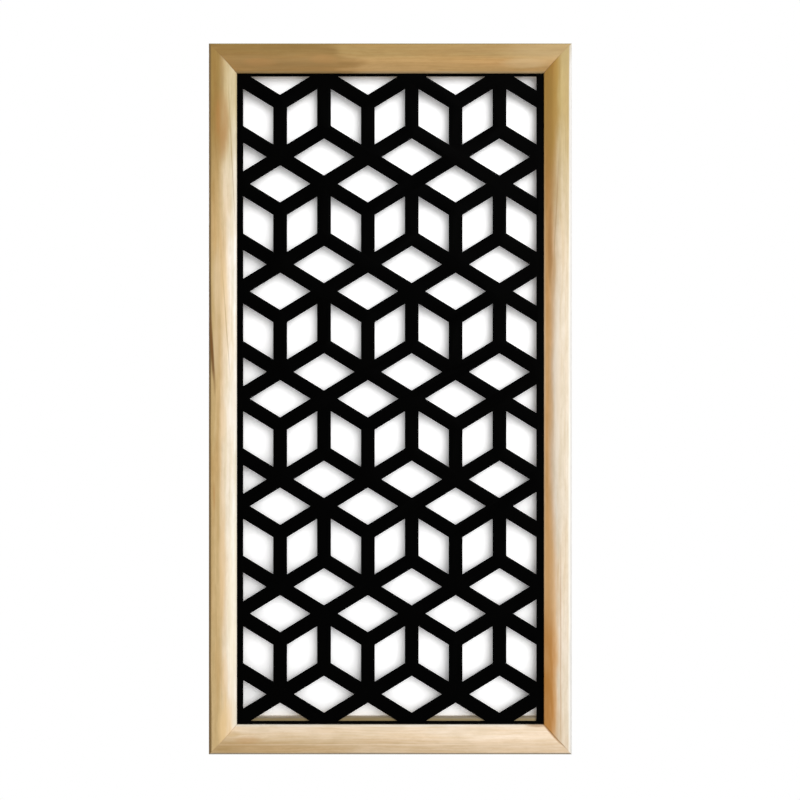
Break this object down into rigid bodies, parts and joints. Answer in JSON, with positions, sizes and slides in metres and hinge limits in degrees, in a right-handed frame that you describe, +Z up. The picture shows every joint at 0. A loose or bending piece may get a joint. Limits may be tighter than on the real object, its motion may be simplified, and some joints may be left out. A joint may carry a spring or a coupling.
{
  "type": "decorative wall panel",
  "caption": "Tall wall panel: a black sheet cut into a lattice of upright and slanting bars, held in a mitred frame of moulded pine.",
  "frame": {"origin": "middle of the flat back of the top rail, on the plane that lies against the wall", "axes": "+Z up along the panel's height, +Y into the wall, square to the flat back; the front faces -Y and +X is to the right as seen from the front"},
  "size_m": [0.613, 0.0346, 1.2006],
  "materials": {
    "pine_frame": "satin clear finish on pale pine",
    "black_sheet": "fine satin black",
    "pine_bead": "sawn and sanded, unfinished"
  },
  "bodies": {
    "root": {"bottom_rail": "pine_frame", "left_stile": "pine_frame", "top_rail": "pine_frame", "right_stile": "pine_frame", "lattice_sheet": "black_sheet", "bottom_bead": "pine_bead", "top_bead": "pine_bead", "left_bead": "pine_bead", "right_bead": "pine_bead"}
  },
  "joints": []
}
